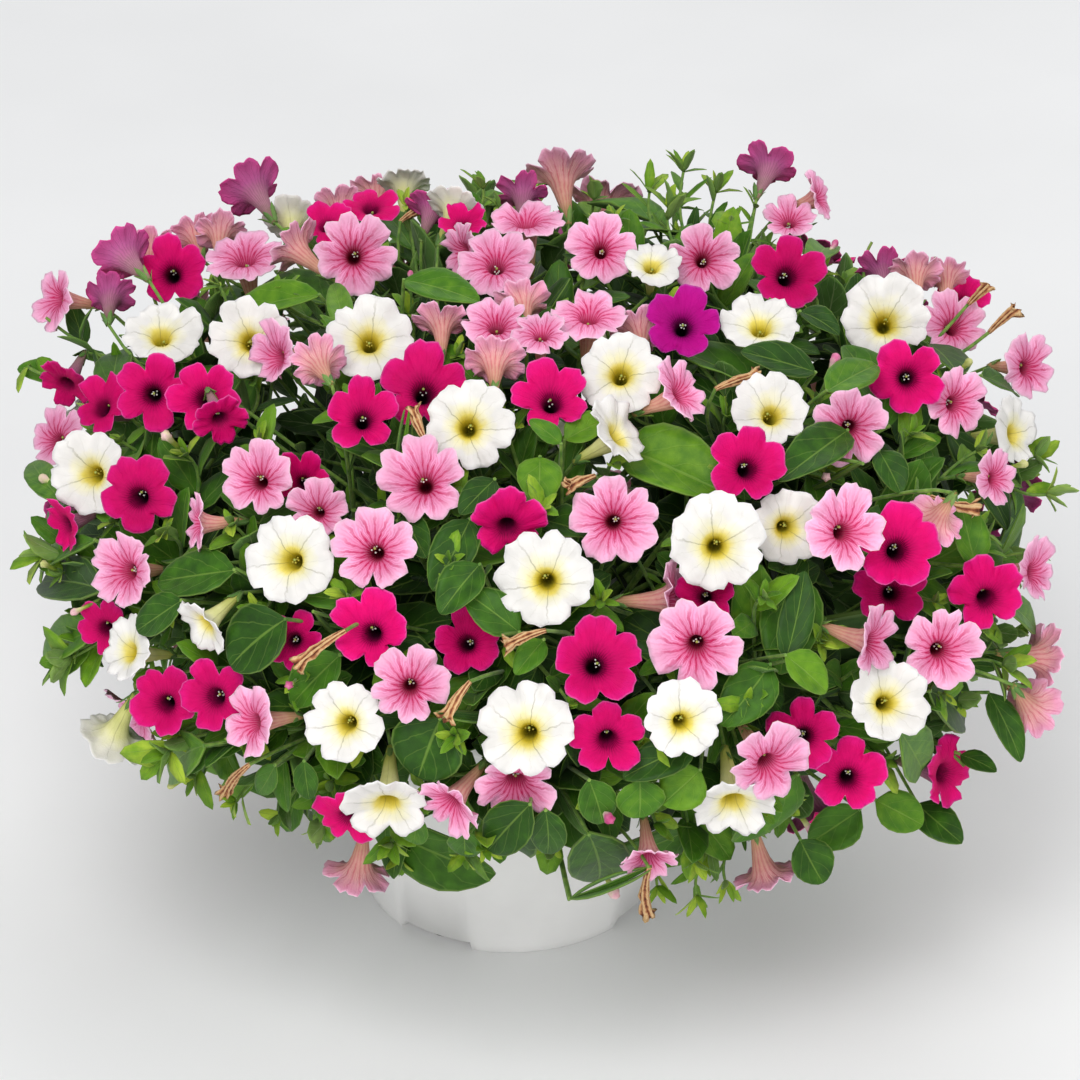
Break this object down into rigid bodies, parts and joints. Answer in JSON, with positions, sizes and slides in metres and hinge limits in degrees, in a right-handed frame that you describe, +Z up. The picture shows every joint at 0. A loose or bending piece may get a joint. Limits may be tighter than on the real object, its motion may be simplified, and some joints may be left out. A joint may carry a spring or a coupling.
{
  "type": "potted petunia",
  "caption": "Round white plastic pot filled by a wide mound of petunias with white, pink and magenta trumpet flowers over green leaves.",
  "frame": {"origin": "middle of the pot's base, on the surface it stands on", "axes": "+Z up along the pot's axis, -Y towards the front of the plant, +X to the right as seen from the front"},
  "size_m": [0.5548, 0.5339, 0.4004],
  "materials": {
    "pot_plastic": "satin white moulded plastic",
    "potting_mix": "loose dark fibrous mix",
    "white_petal": "soft matt petal with a yellow throat",
    "pink_petal": "soft matt petal with dark pink veins",
    "magenta_petal": "velvety petal with a dark throat",
    "leaf": "slightly hairy satin leaf"
  },
  "bodies": {
    "root": {"pot": "pot_plastic", "soil": "potting_mix", "white_spray_1": "white_petal", "white_spray_2": "white_petal", "white_spray_3": "white_petal", "white_spray_4": "white_petal", "white_spray_5": "white_petal", "white_spray_6": "white_petal", "white_spray_7": "white_petal", "white_spray_8": "white_petal", "white_spray_9": "white_petal", "white_spray_10": "white_petal", "pink_spray_1": "pink_petal", "pink_spray_2": "pink_petal", "pink_spray_3": "pink_petal", "pink_spray_4": "pink_petal", "pink_spray_5": "pink_petal", "pink_spray_6": "pink_petal", "pink_spray_7": "pink_petal", "pink_spray_8": "pink_petal", "pink_spray_9": "pink_petal", "pink_spray_10": "pink_petal", "pink_spray_11": "pink_petal", "pink_spray_12": "pink_petal", "pink_spray_13": "pink_petal", "pink_spray_14": "pink_petal", "pink_spray_15": "pink_petal", "magenta_spray_1": "magenta_petal", "magenta_spray_2": "magenta_petal", "magenta_spray_3": "magenta_petal", "magenta_spray_4": "magenta_petal", "magenta_spray_5": "magenta_petal", "magenta_spray_6": "magenta_petal", "magenta_spray_7": "magenta_petal", "magenta_spray_8": "magenta_petal", "magenta_spray_9": "magenta_petal", "magenta_spray_10": "magenta_petal", "magenta_spray_11": "magenta_petal", "magenta_spray_12": "magenta_petal", "leafy_stem_1": "leaf", "leafy_stem_2": "leaf", "leafy_stem_3": "leaf", "leafy_stem_4": "leaf", "leafy_stem_5": "leaf", "leafy_stem_6": "leaf", "leafy_stem_7": "leaf", "leafy_stem_8": "leaf", "leafy_stem_9": "leaf", "leafy_stem_10": "leaf", "leafy_stem_11": "leaf", "leafy_stem_12": "leaf", "leafy_stem_13": "leaf", "leafy_stem_14": "leaf", "leafy_stem_15": "leaf", "leafy_stem_16": "leaf", "leafy_stem_17": "leaf", "leafy_stem_18": "leaf", "leafy_stem_19": "leaf", "leafy_stem_20": "leaf", "leafy_stem_21": "leaf"}
  },
  "joints": []
}
